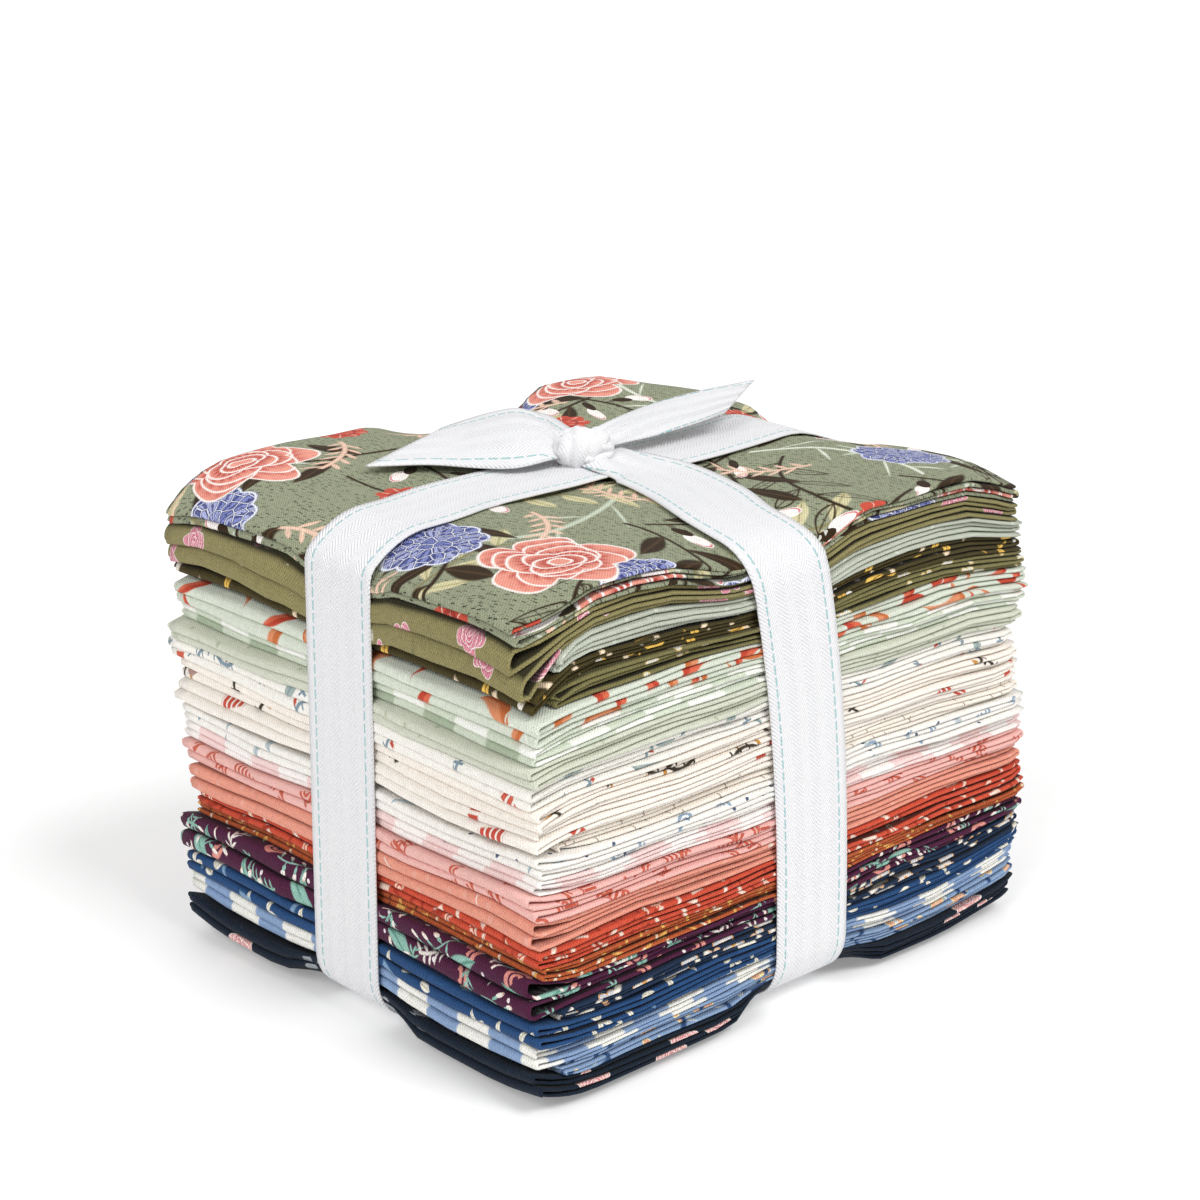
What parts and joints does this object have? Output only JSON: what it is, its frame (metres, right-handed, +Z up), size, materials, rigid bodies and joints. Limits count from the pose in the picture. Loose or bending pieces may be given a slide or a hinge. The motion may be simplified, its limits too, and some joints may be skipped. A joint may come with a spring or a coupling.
{
  "type": "fat quarter bundle",
  "caption": "Stack of folded quilting-cotton cuts in many prints, tied crosswise with one flat stitched ribbon, knotted on top with two slant-cut tails.",
  "frame": {"origin": "under the middle of the stack, on the surface that it rests on", "axes": "+Z up; +X along the longer side, from the cloth's folds towards its free ends; +Y along the shorter side"},
  "size_m": [0.142, 0.119, 0.1151],
  "materials": {
    "sage_floral": "woven quilting cotton, matt",
    "khaki_rose": "woven quilting cotton, matt",
    "grey_back": "woven quilting cotton, matt",
    "dark_olive": "woven quilting cotton, matt",
    "olive_sprig": "woven quilting cotton, matt",
    "mint_leaf": "woven quilting cotton, matt",
    "mint_gingham": "woven quilting cotton, matt",
    "light_sage": "woven quilting cotton, matt",
    "white_floral": "woven quilting cotton, matt",
    "cream_branch": "woven quilting cotton, matt",
    "cream_stamp": "woven quilting cotton, matt",
    "cream_fine": "woven quilting cotton, matt",
    "white_dot": "woven quilting cotton, matt",
    "pink_gingham": "woven quilting cotton, matt",
    "pink_loop": "woven quilting cotton, matt",
    "coral": "woven quilting cotton, matt",
    "tomato": "woven quilting cotton, matt",
    "rust": "woven quilting cotton, matt",
    "plum": "woven quilting cotton, matt",
    "navy_floral": "woven quilting cotton, matt",
    "blue_leaf": "woven quilting cotton, matt",
    "blue_gingham": "woven quilting cotton, matt",
    "sky_floral": "woven quilting cotton, matt",
    "midnight": "woven quilting cotton, matt",
    "ribbon": "woven twill tape, soft sheen, stitched edges"
  },
  "bodies": {
    "root": {"fat_quarter_01": "sage_floral", "fat_quarter_02": "khaki_rose", "fat_quarter_03": "grey_back", "fat_quarter_04": "dark_olive", "fat_quarter_05": "olive_sprig", "fat_quarter_06": "mint_leaf", "fat_quarter_07": "mint_gingham", "fat_quarter_08": "light_sage", "fat_quarter_09": "white_floral", "fat_quarter_10": "cream_branch", "fat_quarter_11": "cream_stamp", "fat_quarter_12": "cream_fine", "fat_quarter_13": "white_dot", "fat_quarter_14": "pink_gingham", "fat_quarter_15": "pink_loop", "fat_quarter_16": "coral", "fat_quarter_17": "tomato", "fat_quarter_18": "rust", "fat_quarter_19": "plum", "fat_quarter_20": "navy_floral", "fat_quarter_21": "blue_leaf", "fat_quarter_22": "blue_gingham", "fat_quarter_23": "sky_floral", "fat_quarter_24": "midnight", "ribbon": "ribbon"}
  },
  "joints": []
}
